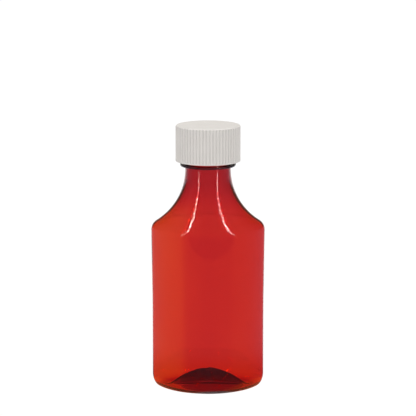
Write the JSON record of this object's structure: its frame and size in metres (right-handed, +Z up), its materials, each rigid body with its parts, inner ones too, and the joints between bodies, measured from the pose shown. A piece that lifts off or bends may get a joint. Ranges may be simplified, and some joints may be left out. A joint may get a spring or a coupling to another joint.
{
  "type": "prescription bottle",
  "caption": "Oval amber medicine bottle with a ribbed push-down-and-turn child-resistant screw cap.",
  "frame": {"origin": "centre of the footprint, on the plane the bottle stands on", "axes": "+Z up along the neck's axis, X along the width, Y along the depth, front face towards -Y"},
  "size_m": [0.054, 0.0372, 0.1274],
  "materials": {
    "amber_plastic": "clear polished PET",
    "foam": "smooth closed-cell foam",
    "natural_plastic": "satin moulded",
    "white_plastic": "satin moulded"
  },
  "bodies": {
    "bottle_body": {"bottle": "amber_plastic"},
    "liner_body": {"cap_liner": "foam"},
    "inner_cap_body": {"inner_cap": "natural_plastic"},
    "spring_body": {"spring_disc": "natural_plastic"},
    "shell_body": {"cap_shell": "white_plastic"}
  },
  "joints": [
    {"name": "cap_lift", "type": "slide", "parent": "bottle_body", "child": "liner_body", "axis": [0, 0, 1], "range_m": [0, 0.0191]},
    {"name": "cap_turn", "type": "hinge", "parent": "liner_body", "child": "inner_cap_body", "pos_m": [0, 0, 0.1238], "axis": [0, 0, 1], "range_deg": [0, 2160]},
    {"name": "shell_spin", "type": "hinge", "parent": "inner_cap_body", "child": "spring_body", "pos_m": [0, 0, 0.1238], "axis": [0, 0, 1], "continuous": true},
    {"name": "push_down", "type": "slide", "parent": "spring_body", "child": "shell_body", "axis": [0, 0, 1], "range_m": [-0.0014, 0], "stiffness_N_per_m": 6000, "deforming": ["spring_disc"]}
  ],
  "couplings": [
    {"joint": "cap_lift", "follows": "cap_turn", "m_per_rad": 0.00050532}
  ]
}
